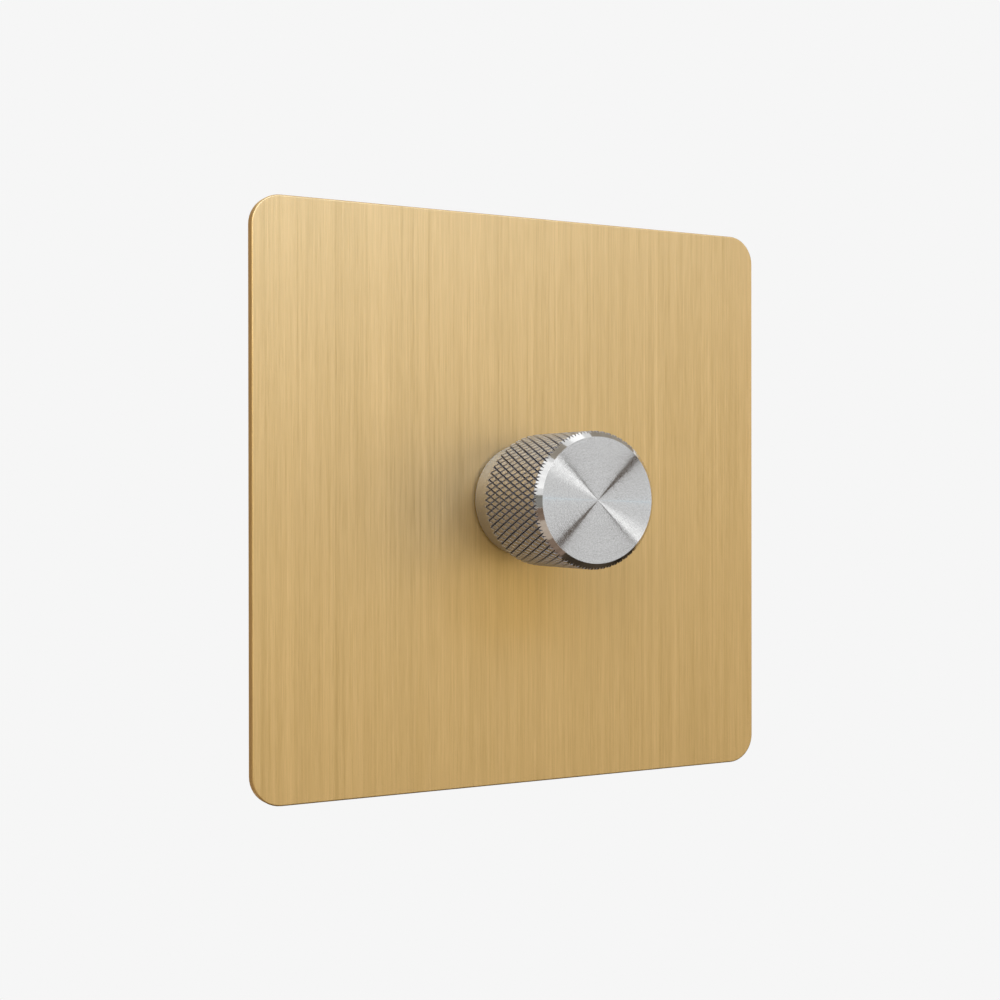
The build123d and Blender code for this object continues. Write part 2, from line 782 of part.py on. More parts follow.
# Circuit board: notched round the bosses and drilled for every lead that passes through it.
notch_x = case_screw_spacing_x - 2 * boss_radius - 2 * board_clearance
notch_z = case_screw_spacing_z - 2 * boss_radius - 2 * board_clearance
with BuildPart() as circuit_board:
    with BuildSketch(facing(board_front)):
        Rectangle(board_width, notch_z)
        Rectangle(notch_x, board_height)
        for contact_x in contact_xs:
            with Locations((contact_x, 0)):
                Rectangle(contact_thickness, contact_width, mode=Mode.SUBTRACT)
        for clamp_x in screw_xs:
            with Locations((clamp_x, clamp_z)):
                Circle(clamp_pin_radius + pin_clearance, mode=Mode.SUBTRACT)
        for transistor_x in transistor_xs:
            with Locations((transistor_x, leg_z)):
                with GridLocations(leg_spacing, 1, 3, 1):
                    Rectangle(
                        leg_width + 2 * pin_clearance,
                        leg_thickness + 2 * pin_clearance,
                        mode=Mode.SUBTRACT,
                    )
    extrude(amount=-board_thickness)
finish(circuit_board, "circuit_board")

# Power transistors: a moulded body on a metal tab, with three legs bent back through the board.
tab_front = -heat_thickness - pad_thickness
leg_front = tab_front - transistor_body / 2
body_middle = transistor_base + transistor_height / 2
tab_middle = transistor_base + (transistor_height + transistor_tab_height) / 2
with BuildPart() as power_transistors:
    for transistor_x in transistor_xs:
        with BuildSketch(facing(tab_front)):
            with Locations((transistor_x, body_middle)):
                Rectangle(transistor_width, transistor_height)
        extrude(amount=-transistor_body)
        with BuildSketch(facing(tab_front)):
            with Locations((transistor_x, tab_middle)):
                Rectangle(transistor_width, transistor_height + transistor_tab_height)
            with Locations((transistor_x, transistor_hole_z)):
                Circle(transistor_hole_radius, mode=Mode.SUBTRACT)
        extrude(amount=-transistor_tab_thickness)
        for leg in (-1, 0, 1):
            leg_foot = board_back - leg_tail
            with BuildSketch(Plane.YZ.offset(transistor_x + leg * leg_spacing)):
                with BuildLine():
                    Polyline(
                        (-leg_front, transistor_base + leg_thickness),
                        (-leg_front, leg_z - leg_thickness / 2),
                        (-leg_foot, leg_z - leg_thickness / 2),
                        (-leg_foot, leg_z + leg_thickness / 2),
                        (-leg_front + leg_thickness, leg_z + leg_thickness / 2),
                        (-leg_front + leg_thickness, transistor_base + leg_thickness),
                        close=True,
                    )
                make_face()
            extrude(amount=leg_width / 2, both=True)
finish(power_transistors, "power_transistors")

# Insulator pads between the transistors and the heat plate.
with BuildPart() as insulator_pads:
    with BuildSketch(facing(-heat_thickness)):
        for transistor_x in transistor_xs:
            with Locations((transistor_x, tab_middle)):
                Rectangle(pad_width, transistor_height + transistor_tab_height + 2 * pad_margin)
            with Locations((transistor_x, transistor_hole_z)):
                Circle(transistor_hole_radius, mode=Mode.SUBTRACT)
    extrude(amount=-pad_thickness)
finish(insulator_pads, "insulator_pads")

# Transistor screws: pan heads on the tabs, threaded into the heat plate.
tab_back = tab_front - transistor_tab_thickness
transistor_spots = [(x, transistor_hole_z) for x in transistor_xs]
with BuildPart() as transistor_screws:
    with BuildSketch(facing(tab_back)):
        with Locations(*transistor_spots):
            Circle(transistor_screw_head_radius)
    extrude(amount=-transistor_screw_head_height)
    with BuildSketch(facing(tab_back)):
        with Locations(*transistor_spots):
            Circle(transistor_screw_radius)
    extrude(amount=-tab_back - slot_depth)
    with BuildSketch(facing(tab_back - transistor_screw_head_height)):
        with Locations(*transistor_spots):
            Rectangle(2 * transistor_screw_radius, slot_width)
            Rectangle(slot_width, 2 * transistor_screw_radius)
    extrude(amount=slot_depth, mode=Mode.SUBTRACT)
finish(transistor_screws, "transistor_screws")

# Choke: a ferrite ring wound with enamelled wire, laid on the back of the board.
winding_height = choke_core_height + 2 * choke_wire_thickness
sleeve_radius = choke_core_radius + choke_sleeve_thickness
with BuildPart() as choke_core:
    with BuildSketch(facing(board_back - choke_wire_thickness)):
        with Locations((choke_x, choke_z)):
            Circle(choke_core_radius)
            Circle(choke_core_bore, mode=Mode.SUBTRACT)
    extrude(amount=-choke_core_height)
finish(choke_core, "choke_core")

with BuildPart() as choke_winding:
    with BuildSketch(facing(board_back)):
        with Locations((choke_x, choke_z)):
            Circle(sleeve_radius)
            with PolarLocations(sleeve_radius, choke_turns):
                Circle(choke_turn_radius)
            Circle(choke_core_bore - choke_wire_thickness, mode=Mode.SUBTRACT)
    extrude(amount=-winding_height)
    add(choke_core.part, mode=Mode.SUBTRACT)
finish(choke_winding, "choke_winding")

# Film capacitor: a moulded box with a rounded top.
with BuildPart() as film_capacitor:
    with BuildSketch(facing(board_back)):
        with Locations((film_x, film_z)):
            RectangleRounded(film_length, film_width, film_corner_radius)
    extrude(amount=-film_height)
    fillet(film_capacitor.faces().sort_by(Axis.Y)[-1].edges(), film_edge_radius)
finish(film_capacitor, "film_capacitor")

# Smoothing capacitor: a can with a crimped groove near its base.
with BuildPart() as smoothing_capacitor:
    with BuildSketch(facing(board_back)):
        with Locations((smoothing_x, smoothing_z)):
            Circle(smoothing_radius)
    extrude(amount=-smoothing_height)
    fillet(smoothing_capacitor.edges().sort_by(Axis.Y)[-1], smoothing_edge_radius)
    with BuildSketch(facing(board_back - smoothing_groove_offset)):
        with Locations((smoothing_x, smoothing_z)):
            Circle(smoothing_radius)
            Circle(smoothing_radius - smoothing_groove_depth, mode=Mode.SUBTRACT)
    extrude(amount=-smoothing_groove_width, mode=Mode.SUBTRACT)
finish(smoothing_capacitor, "smoothing_capacitor")

# Fuse link: a tube with a metal cap at each end, lying on the board.
fuse_plane = Plane(origin=(0, -board_back + fuse_radius + fuse_cap_step, fuse_z), z_dir=(1, 0, 0))
with BuildPart() as fuse_link:
    with BuildSketch(fuse_plane.offset(-fuse_length / 2)):
        Circle(fuse_radius)
    extrude(amount=fuse_length)
    for cap_start in (-fuse_length / 2, fuse_length / 2 - fuse_cap_length):
        with BuildSketch(fuse_plane.offset(cap_start)):
            Circle(fuse_radius + fuse_cap_step)
        extrude(amount=fuse_cap_length)
finish(fuse_link, "fuse_link")

# Control chip, on the front of the board.
with BuildPart() as control_chip:
    with BuildSketch(facing(board_front)):
        with Locations((chip_x, chip_z)):
            Rectangle(chip_length, chip_width)
    extrude(amount=chip_height)
    chamfer(control_chip.faces().sort_by(Axis.Y)[0].edges(), chip_bevel)
finish(control_chip, "control_chip")

# Terminal block: a moulding with a pocket for each clamp, a wire entry below that the mould leaves open
# towards the board, and a round way to each screw behind.
with BuildPart() as terminal_block:
    with BuildSketch(facing(board_back)):
        with Locations((0, block_z)):
            Rectangle(block_width, block_height)
    extrude(amount=block_back - board_back)
    fillet(terminal_block.edges().filter_by(Axis.Y), block_edge_radius)
    with BuildSketch(facing(board_back)):
        with Locations(*[(x, clamp_z) for x in screw_xs]):
            Rectangle(clamp_width, clamp_height)
    extrude(amount=clamp_back - board_back, mode=Mode.SUBTRACT)
    with BuildSketch(facing(clamp_back)):
        with Locations(*[(x, clamp_z) for x in screw_xs]):
            Circle(screw_head_radius + screw_access)
    extrude(amount=-block_rear, mode=Mode.SUBTRACT)
    with BuildSketch(Plane.XY.offset(block_bottom)):
        with Locations(*[(x, -wire_reach) for x in screw_xs]):
            Circle(wire_entry_radius)
        with Locations(*[(x, -(wire_reach + board_back) / 2) for x in screw_xs]):
            Rectangle(2 * wire_entry_radius, wire_depth)
    extrude(amount=block_wall, mode=Mode.SUBTRACT)
finish(terminal_block, "terminal_block")

# Terminal clamps: drilled brass blocks, tapped for a screw, with a pin soldered into the board.
with BuildPart() as terminal_clamps:
    for clamp_x in screw_xs:
        with BuildSketch(facing(board_back)):
            with Locations((clamp_x, clamp_z)):
                Rectangle(clamp_width, clamp_height)
        extrude(amount=clamp_back - board_back)
        with BuildSketch(facing(board_back)):
            with Locations((clamp_x, clamp_z)):
                Circle(clamp_pin_radius)
        extrude(amount=clamp_pin_length)
        with BuildSketch(Plane.XY.offset(clamp_z)):
            with Locations((clamp_x, -wire_reach)):
                Circle(wire_radius)
        extrude(amount=clamp_height, both=True, mode=Mode.SUBTRACT)
        with BuildSketch(facing(clamp_back)):
            with Locations((clamp_x, clamp_z)):
                Circle(screw_radius + screw_clearance)
        extrude(amount=wire_reach - clamp_back, mode=Mode.SUBTRACT)
finish(terminal_clamps, "terminal_clamps")

# One slotted screw with a cheese head, the underside of its head on y = 0 and its shank to the room.
with BuildPart() as slotted_screw:
    with BuildSketch(facing(0)):
        Circle(screw_head_radius)
    extrude(amount=-screw_head_height)
    with BuildSketch(facing(0)):
        Circle(screw_radius)
    extrude(amount=screw_length)
    with BuildSketch(facing(-screw_head_height)):
        Rectangle(2 * screw_head_radius, slot_width)
    extrude(amount=slot_depth, mode=Mode.SUBTRACT)

# Terminal screws and the screw of the earth terminal.
with BuildPart() as terminal_screws:
    with Locations(*[(x, -clamp_back, clamp_z) for x in screw_xs]):
        add(slotted_screw.part)
finish(terminal_screws, "terminal_screws")

with BuildPart() as earth_screw:
    with Locations((earth_x, earth_depth, earth_z)):
        add(slotted_screw.part)
finish(earth_screw, "earth_screw")

# Earth terminal: a drilled brass block staked to the back of the yoke.
with BuildPart() as earth_terminal:
    with BuildSketch(facing(0)):
        with Locations((earth_x, earth_z)):
            Rectangle(earth_width, earth_width)
    extrude(amount=-earth_depth)
    with BuildSketch(facing(0)):
        with Locations((earth_x, earth_z)):
            Circle(earth_spigot_radius)
    extrude(amount=yoke_thickness)
    with BuildSketch(Plane.XY.offset(earth_z)):
        with Locations((earth_x, earth_depth - screw_length - wire_radius)):
            Circle(wire_radius)
    extrude(amount=earth_width, both=True, mode=Mode.SUBTRACT)
    with BuildSketch(facing(-earth_depth)):
        with Locations((earth_x, earth_z)):
            Circle(screw_radius + screw_clearance)
    extrude(amount=screw_length + wire_radius, mode=Mode.SUBTRACT)
finish(earth_terminal, "earth_terminal")
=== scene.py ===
# %% [markdown]
# # A dimmer switch with a brushed brass plate and a knurled steel knob
#
# This lesson dresses a finished CAD model. Every solid piece is already here at its real size: the square
# plate, the knob with its diamond knurl, the yoke and the dimmer module behind. What is left is what a
# photographer sees: how each metal was finished, where the light stands and where the camera looks from.

# %% Load the frame and keep its box
import json
import math

import bmesh
import bpy
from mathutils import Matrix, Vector


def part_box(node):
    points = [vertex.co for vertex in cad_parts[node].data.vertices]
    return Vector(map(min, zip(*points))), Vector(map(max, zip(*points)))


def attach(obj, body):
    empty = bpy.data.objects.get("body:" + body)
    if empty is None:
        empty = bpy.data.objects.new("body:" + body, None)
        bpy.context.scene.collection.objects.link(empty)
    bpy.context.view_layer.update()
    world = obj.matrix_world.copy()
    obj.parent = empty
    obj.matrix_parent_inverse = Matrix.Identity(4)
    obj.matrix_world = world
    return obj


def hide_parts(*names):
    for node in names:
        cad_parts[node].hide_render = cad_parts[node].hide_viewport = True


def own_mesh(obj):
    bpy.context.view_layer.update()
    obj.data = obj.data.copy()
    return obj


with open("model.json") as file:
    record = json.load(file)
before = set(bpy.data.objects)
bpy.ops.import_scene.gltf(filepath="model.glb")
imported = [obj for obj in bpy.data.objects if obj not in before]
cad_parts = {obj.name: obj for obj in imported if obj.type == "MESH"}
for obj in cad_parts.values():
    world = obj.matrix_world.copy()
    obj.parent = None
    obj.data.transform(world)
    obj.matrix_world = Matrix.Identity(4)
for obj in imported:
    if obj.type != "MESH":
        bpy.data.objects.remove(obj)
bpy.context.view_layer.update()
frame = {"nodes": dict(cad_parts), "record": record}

# %% [markdown]
# ## Where things are
#
# The wall is the plane y = 0, the room is on the side of negative y, and z points up. The boxes of the
# CAD nodes say where the plate's face and the knob's face are, so nothing below repeats a size.

# %% Read the places from the frame
mm = 0.001
plate_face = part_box("front_plate")[0].y
knob_low, knob_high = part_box("knob")
knob_face = knob_low.y
drum_radius = knob_high.x
print("plate face", round(plate_face / mm, 2), "knob face", round(knob_face / mm, 2))

# %% [markdown]
# ## The camera
#
# The photograph looks at the switch from its left, level with the knob. The place of the camera was
# worked out from the four corners of the plate in the picture, whose real size is known, so it is given
# here as a distance from the middle of the plate's face, a turn to the side and a slight tilt. The view
# transform is Standard, so that the pale ground comes out as pale as it was set.

# %% Set up the camera
camera_from_plate = Vector((-118.6, -217.3, 0.6)) * mm
camera_turn = math.radians(-27.77)
camera_tilt = math.radians(-0.14)
camera_roll = math.radians(0.06)
lens_mm = 56.0
sensor_mm = 36.0
nearest_seen = 10 * mm

camera_data = bpy.data.cameras.new("camera")
camera_data.lens = lens_mm
camera_data.sensor_width = sensor_mm
camera_data.sensor_fit = "HORIZONTAL"
camera_data.clip_start = nearest_seen
camera = bpy.data.objects.new("camera", camera_data)
bpy.context.scene.collection.objects.link(camera)
camera.location = camera_from_plate + Vector((0, plate_face, 0))
camera.rotation_euler = (math.radians(90) + camera_tilt, camera_roll, camera_turn)
bpy.context.scene.camera = camera
bpy.context.scene.view_settings.view_transform = "Standard"
print("camera at", [round(v / mm, 1) for v in camera.location])

# %% [markdown]
# ## Helpers for building node materials
#
# Every finish is a small graph of shader nodes. These helpers add a node, set its values and join its
# sockets, so each material further down reads like the list of steps that made the surface.

# %% Make helpers for nodes


def fill(tree, node, inputs):
    """Set a node's inputs, by name or number, to values or to other nodes' outputs."""
    for key, value in inputs.items():
        if isinstance(value, bpy.types.NodeSocket):
            tree.links.new(value, node.inputs[key])
        else:
            node.inputs[key].default_value = value
    return node


def add_node(tree, kind, inputs=None, **settings):
    """Add a node, set its properties and fill its inputs."""
    node = tree.nodes.new(kind)
    for name, value in settings.items():
        setattr(node, name, value)
    return fill(tree, node, inputs or {})


def calc(tree, operation, *values):
    """Add one Math node and return its output."""
    return add_node(tree, "ShaderNodeMath", dict(enumerate(values)), operation=operation).outputs[0]


def vector_calc(tree, operation, inputs):
    """Add one Vector Math node and return its vector."""
    return add_node(tree, "ShaderNodeVectorMath", inputs, operation=operation).outputs["Vector"]


def weigh(tree, first, share, second):
    """The mean of two values: this share of the first and the rest of the second."""
    return calc(tree, "MULTIPLY_ADD", first, share, calc(tree, "MULTIPLY", second, 1 - share))


def mix_colour(tree, amount, first, second):
    """Mix two colours and return the result."""
    return add_node(tree, "ShaderNodeMix", {0: amount, 6: first, 7: second}, data_type="RGBA").outputs[2]


print("node helpers ready")

# %% [markdown]
# ## Noise as the raw material
#
# No finish is perfectly even, and noise is where its small changes come from. It is read at the place on
# the object, so it stays on the piece when the knob turns. A noise hardly ever reaches 0 or 1: nearly all
# of it lies in a narrow range round the middle, which is stretched to whatever range a finish needs.

# %% Make helpers for noise
noise_range = (0.3, 0.7)
calm_range = (0.35, 0.65)


def remap(tree, value, low, high, new_low=0.0, new_high=1.0):
    """Stretch a value from one range to another, held inside the new one."""
    node = add_node(tree, "ShaderNodeMapRange", {
        "Value": value, "From Min": low, "From Max": high, "To Min": new_low, "To Max": new_high})
    return node.outputs["Result"]


def object_place(tree):
    """The place on the object."""
    return add_node(tree, "ShaderNodeTexCoord").outputs["Object"]


def noise(tree, place, scale, detail):
    """Noise round a place: a greater scale is finer, a greater detail is rougher."""
    node = add_node(tree, "ShaderNodeTexNoise", {"Vector": place, "Scale": scale, "Detail": detail})
    return node.outputs["Fac"]


def line_noise(tree, along, detail):
    """Noise that changes only with one number, for rings and lines."""
    node = add_node(
        tree, "ShaderNodeTexNoise", {"W": along, "Scale": 1.0, "Detail": detail}, noise_dimensions="1D")
    return node.outputs["Fac"]


print("noise helpers ready, noise", noise_range, "calm noise", calm_range)

# %% [markdown]
# ## Straight grain, a shared effect
#
# A brushed sheet is scratched by a belt that runs one way, and so, more faintly, is a rolled one. Its
# grain is noise that changes fast across the belt and hardly along it. It is built once as a node group
# that puts out only masks, in three widths of scratch, and each material decides what to do with them.

# %% Build the straight grain group


def new_group(name, inputs, outputs):
    """Start a shader node group with named numbers that go in and come out."""
    tree = bpy.data.node_groups.new(name, "ShaderNodeTree")
    for label, value in inputs.items():
        socket = tree.interface.new_socket(label, in_out="INPUT", socket_type="NodeSocketFloat")
        socket.default_value = value
    for label in outputs:
        tree.interface.new_socket(label, in_out="OUTPUT", socket_type="NodeSocketFloat")
    return tree, tree.nodes.new("NodeGroupInput").outputs, tree.nodes.new("NodeGroupOutput").inputs


def build_grain_group():
    """Upright scratches: noise stretched along Z, in three widths."""
    scratches_per_metre = {"Fine": 9000.0, "Middle": 2600.0, "Coarse": 500.0}
    stretch = {"Fine": 0.02, "Middle": 0.008, "Coarse": 0.004}
    shift = {"Fine": 1.7, "Middle": 5.3, "Coarse": 9.1}
    tree, given, out = new_group("straight_grain", scratches_per_metre, ["Grain", "Bands"])
    place = object_place(tree)
    layers = {}
    for label in scratches_per_metre:
        along = calc(tree, "MULTIPLY", given[label], stretch[label])
        scale = add_node(tree, "ShaderNodeCombineXYZ", {"X": given[label], "Y": given[label], "Z": along})
        scaled = vector_calc(tree, "MULTIPLY", {0: place, 1: scale.outputs[0]})
        shifted = vector_calc(tree, "ADD", {0: scaled, 1: (shift[label], 0, shift[label])})
        layers[label] = noise(tree, shifted, 1.0, 2.0)
    tree.links.new(weigh(tree, layers["Middle"], 0.5, layers["Fine"]), out["Grain"])
    tree.links.new(layers["Coarse"], out["Bands"])
    return tree


grain_group = build_grain_group()
print("group", grain_group.name, "with", len(grain_group.nodes), "nodes")

# %% [markdown]
# ## Moulded texture, a shared effect
#
# A mould for plastic is eaten by sparks, which leave a fine even pitting, and the plastic copies it. The
# group gives that pitting as a height, and a slow cloud beside it, because no moulding is quite even.

# %% Build the moulded texture group


def build_moulded_group():
    """Fine pitting for the height, and a cloud over 30 times as large for the tone."""
    cloud_share = 0.03
    tree, given, out = new_group("moulded_texture", {"Size": 2500.0}, ["Height", "Cloud"])
    place = object_place(tree)
    cloud_scale = calc(tree, "MULTIPLY", given["Size"], cloud_share)
    tree.links.new(noise(tree, place, given["Size"], 2.0), out["Height"])
    tree.links.new(noise(tree, place, cloud_scale, 3.0), out["Cloud"])
    return tree


moulded_group = build_moulded_group()
print("group", moulded_group.name, "with", len(moulded_group.nodes), "nodes")

# %% [markdown]
# ## The plate's finish
#
# The plate is brass sheet, brushed by a belt that ran up and down and then lacquered. The scratches are
# far finer than a pixel, so most of the finish is two numbers: the roughness, and how much further the
# highlight spreads across the grain than along it. The few coarser scratches are a very low relief and a
# slight change of tone, and broad bands change the tone a little more.

# %% Make the plate's brushed brass


def start_material(name):
    """An empty node material and its tree."""
    material = bpy.data.materials.new(name)
    material.use_nodes = True
    material.node_tree.nodes.clear()
    return material, material.node_tree


def set_surface(tree, shader):
    """Make this shader the surface of the material."""
    output = tree.nodes.new("ShaderNodeOutputMaterial")
    tree.links.new(shader.outputs[0], output.inputs["Surface"])


def set_principled(tree, inputs):
    """Make the surface a Principled shader with these inputs."""
    set_surface(tree, add_node(tree, "ShaderNodeBsdfPrincipled", inputs))


def relief(tree, height, depth_mm, inputs=None):
    """The normal of a low relief."""
    bump = {"Height": height, "Distance": depth_mm * mm, **(inputs or {})}
    return add_node(tree, "ShaderNodeBump", bump).outputs["Normal"]


def round_axis(tree, axis):
    """The direction that runs round an axis of the object."""
    return add_node(tree, "ShaderNodeTangent", direction_type="RADIAL", axis=axis).outputs[0]


def make_plate_brass():
    """Brushed and lacquered brass, its grain upright."""
    dark, light = (0.535, 0.342, 0.113, 1), (0.745, 0.486, 0.177, 1)
    smoothest, roughest = 0.46, 0.56
    band_share, scratch_depth_mm = 0.3, 0.03
    material, tree = start_material("plate_brass")
    grain = add_node(tree, "ShaderNodeGroup", node_tree=grain_group).outputs
    bands = remap(tree, grain["Bands"], *noise_range)
    scratches = remap(tree, grain["Grain"], *noise_range)
    set_principled(tree, {
        "Base Color": mix_colour(tree, weigh(tree, bands, band_share, scratches), dark, light),
        "Metallic": 1.0,
        "Roughness": remap(tree, grain["Grain"], *noise_range, smoothest, roughest),
        "Anisotropic": 0.3,
        "Tangent": round_axis(tree, "Z"),
        "Normal": relief(tree, grain["Grain"], scratch_depth_mm),
    })
    return material


finishes = {"plate_brass": make_plate_brass()}
print("finish", finishes["plate_brass"].name)

# %% [markdown]
# ## The knob's face
#
# The face was cut by a tool that moved outward while the knob spun, which leaves rings too fine to see.
# Each ring is a tiny groove, so its walls lean only towards the centre or away from it, and the light
# spreads only along the radius. That makes the wedges that a spun face shows. A highlight that spreads
# one way in the shader has soft ends, so here the groove walls are built as well: the normal leans along
# the radius by a noise that changes 61 times in each millimetre, and the wedges get sharp edges.

# %% Make the knob's face


def axis_distance(tree, place):
    """The distance from the knob's axis, in millimetres."""
    parts = add_node(tree, "ShaderNodeSeparateXYZ", {"Vector": place}).outputs
    across = calc(tree, "MULTIPLY", parts["X"], parts["X"])
    square = calc(tree, "MULTIPLY_ADD", parts["Z"], parts["Z"], across)
    return calc(tree, "MULTIPLY", calc(tree, "SQRT", square), 1 / mm)


def ring_noise(tree, radius, rings_per_mm, detail):
    """Soft random rings round the axis."""
    return line_noise(tree, calc(tree, "MULTIPLY", radius, rings_per_mm), detail)


def eased_edges(tree):
    """The normal of a piece whose sharp edges are eased a little, as deburring does."""
    return add_node(tree, "ShaderNodeBevel", {"Radius": 0.06 * mm}, samples=4).outputs[0]


def make_knob_face():
    """Faced steel, with groove walls that lean along the radius."""
    dark, light = (0.535, 0.535, 0.533, 1), (0.66, 0.66, 0.657, 1)
    smoothest, roughest = 0.09, 0.12
    rings_per_mm, ring_share, flecks_per_metre = 9.0, 0.2, 4300.0
    grooves_per_mm, slope_span = 61.0, 1.1
    material, tree = start_material("knob_face")
    place = object_place(tree)
    radius = axis_distance(tree, place)
    rings = remap(tree, ring_noise(tree, radius, rings_per_mm, 3.0), *noise_range)
    flecks = remap(tree, noise(tree, place, flecks_per_metre, 2.0), *noise_range)
    tone = weigh(tree, rings, ring_share, flecks)
    along_ring = round_axis(tree, "Y")
    flat = eased_edges(tree)
    outward = vector_calc(tree, "CROSS_PRODUCT", {0: flat, 1: along_ring})
    groove = ring_noise(tree, radius, grooves_per_mm, 0.0)
    slope = calc(tree, "MULTIPLY_ADD", groove, slope_span, -slope_span / 2)
    lean = vector_calc(tree, "SCALE", {0: outward, "Scale": slope})
    leaning = vector_calc(tree, "ADD", {0: flat, 1: lean})
    set_principled(tree, {
        "Base Color": mix_colour(tree, tone, dark, light),
        "Metallic": 1.0,
        "Roughness": remap(tree, tone, 0.0, 1.0, smoothest, roughest),
        "Anisotropic": 1.0,
        "Anisotropic Rotation": 0.25,
        "Tangent": along_ring,
        "Normal": vector_calc(tree, "NORMALIZE", {0: leaning}),
    })
    return material


face_finish = make_knob_face()
print("finish", face_finish.name, "with", len(face_finish.node_tree.nodes), "nodes")

# %% [markdown]
# ## The knob's chamfer and sides
#
# The chamfer was cut last with a sharp tool and is nearly a mirror, with faint turning lines. The knurl
# was rolled before it, and with the neck it keeps a satin skin. Shade at the bottoms of the grooves is
# painted into the colour: the sides darken and turn rougher with depth below the drum's surface. The
# smooth neck lies deeper still, so it is left out of that painted shade by its distance from the axis.

# %% Make the knob's chamfer and sides


def make_knob_chamfer():
    """The polished chamfer: faint turning lines in a mirror."""
    dark, light = (0.66, 0.66, 0.655, 1), (0.76, 0.76, 0.755, 1)
    smoothest, roughest = 0.05, 0.09
    lines_per_mm, line_depth_mm = 14.0, 0.0005
    material, tree = start_material("knob_chamfer")
    lines = ring_noise(tree, axis_distance(tree, object_place(tree)), lines_per_mm, 2.0)
    set_principled(tree, {
        "Base Color": mix_colour(tree, lines, dark, light),
        "Metallic": 1.0,
        "Roughness": remap(tree, lines, *noise_range, smoothest, roughest),
        "Normal": relief(tree, lines, line_depth_mm, {"Normal": eased_edges(tree)}),
    })
    return material


def make_knob_steel():
    """The knurled and smooth sides: satin lands, groove bottoms darkened by painted shade."""
    # The third colour is painted shade for the bottoms of the knurl's grooves.
    dark, light, groove_shade_colour = (0.362, 0.382, 0.46, 1), (0.417, 0.441, 0.53, 1), (0.05, 0.042, 0.035, 1)
    full_shade_depth_mm, unshaded_depth_mm, neck_reach_mm = 0.32, 0.18, 9.4
    deepest_shade, shaded_groove_roughness = 0.9, 0.25
    smoothest, roughest = 0.36, 0.42
    flecks_per_metre, fleck_depth_mm = 3200.0, 0.006
    material, tree = start_material("knob_steel")
    place = object_place(tree)
    radius = axis_distance(tree, place)
    land = drum_radius / mm
    # Painted shade: the colour darkens with depth below the drum's surface, towards the groove bottoms; the
    # neck is left out.
    depth_shade = remap(tree, radius, land - full_shade_depth_mm, land - unshaded_depth_mm, deepest_shade, 0.0)
    painted_groove_shade = calc(tree, "MULTIPLY", depth_shade, calc(tree, "GREATER_THAN", radius, neck_reach_mm))
    tone = remap(tree, noise(tree, place, flecks_per_metre, 2.0), *noise_range)
    satin = remap(tree, tone, 0.0, 1.0, smoothest, roughest)
    set_principled(tree, {
        "Base Color": mix_colour(tree, painted_groove_shade, mix_colour(tree, tone, dark, light), groove_shade_colour),
        "Metallic": 1.0,
        "Roughness": calc(tree, "MULTIPLY_ADD", painted_groove_shade, shaded_groove_roughness, satin),
        "Normal": relief(tree, tone, fleck_depth_mm, {"Normal": eased_edges(tree)}),
    })
    return material


chamfer_finish = make_knob_chamfer()
finishes["knob_steel"] = make_knob_steel()
print("finishes", chamfer_finish.name, "and", finishes["knob_steel"].name)

# %% [markdown]
# ## Moulded pieces behind the plate
#
# The clip frame, the module's case, the control's housing and the terminals are moulded plastic, and the
# potted and sintered parts on the board have a like skin. One recipe covers them: the pitting gives the
# relief and the shine, the cloud gives the tone. Each piece has its own colour, roughness and, where it
# differs, its own fineness, depth of relief in millimetres and spread of tone.

# %% Make the moulded finishes


def two_tones(colour, spread):
    """A colour made a little darker and a little lighter."""
    return [tuple(min(1.0, part * (1 + change)) for part in colour) + (1,) for change in (-spread, spread)]


def make_moulded(name, colour, roughness, size=2500.0, depth_mm=0.01, spread=0.12):
    """Moulded plastic: pitting as relief and as a change of shine."""
    smoothest, roughest = roughness - 0.08, roughness + 0.08
    material, tree = start_material(name)
    texture = add_node(tree, "ShaderNodeGroup", {"Size": size}, node_tree=moulded_group).outputs
    tone = remap(tree, texture["Cloud"], *noise_range)
    set_principled(tree, {
        "Base Color": mix_colour(tree, tone, *two_tones(colour, spread)),
        "Roughness": remap(tree, texture["Height"], *noise_range, smoothest, roughest),
        "Normal": relief(tree, texture["Height"], depth_mm),
    })
    return material


moulded_finishes = {
    "frame_plastic": ((0.045, 0.045, 0.048), 0.5),
    "control_plastic": ((0.05, 0.05, 0.055), 0.45),
    "nylon": ((0.78, 0.77, 0.72), 0.4, 1800.0),
    "wafer_board": ((0.4, 0.23, 0.11), 0.5, 1500.0),
    "carbon_track": ((0.03, 0.03, 0.03), 0.6, 4000.0),
    "case_plastic": ((0.76, 0.76, 0.74), 0.48, 2200.0, 0.014, 0.03),
    "circuit_board": ((0.04, 0.22, 0.1), 0.3, 1600.0),
    "transistor_epoxy": ((0.04, 0.04, 0.045), 0.55, 3000.0),
    "silicone_pad": ((0.52, 0.53, 0.57), 0.6),
    "ferrite": ((0.06, 0.06, 0.065), 0.45, 3500.0),
    "capacitor_box": ((0.5, 0.1, 0.05), 0.3),
    "capacitor_can": ((0.1, 0.11, 0.14), 0.3),
    "fuse_ceramic": ((0.8, 0.78, 0.72), 0.35, 3000.0, 0.01, 0.05),
    "terminal_plastic": ((0.07, 0.07, 0.078), 0.42),
}
for name, values in moulded_finishes.items():
    finishes[name] = make_moulded(name, *values)
print("moulded finishes", len(moulded_finishes))

# %% [markdown]
# ## Sheet metal behind the plate
#
# The yoke, the contacts and the heat plate are stamped from rolled sheet, some of it plated. Rolling
# leaves a faint straight grain, and plating leaves clouds, so both masks are mixed in equal parts.

# %% Make the sheet finishes


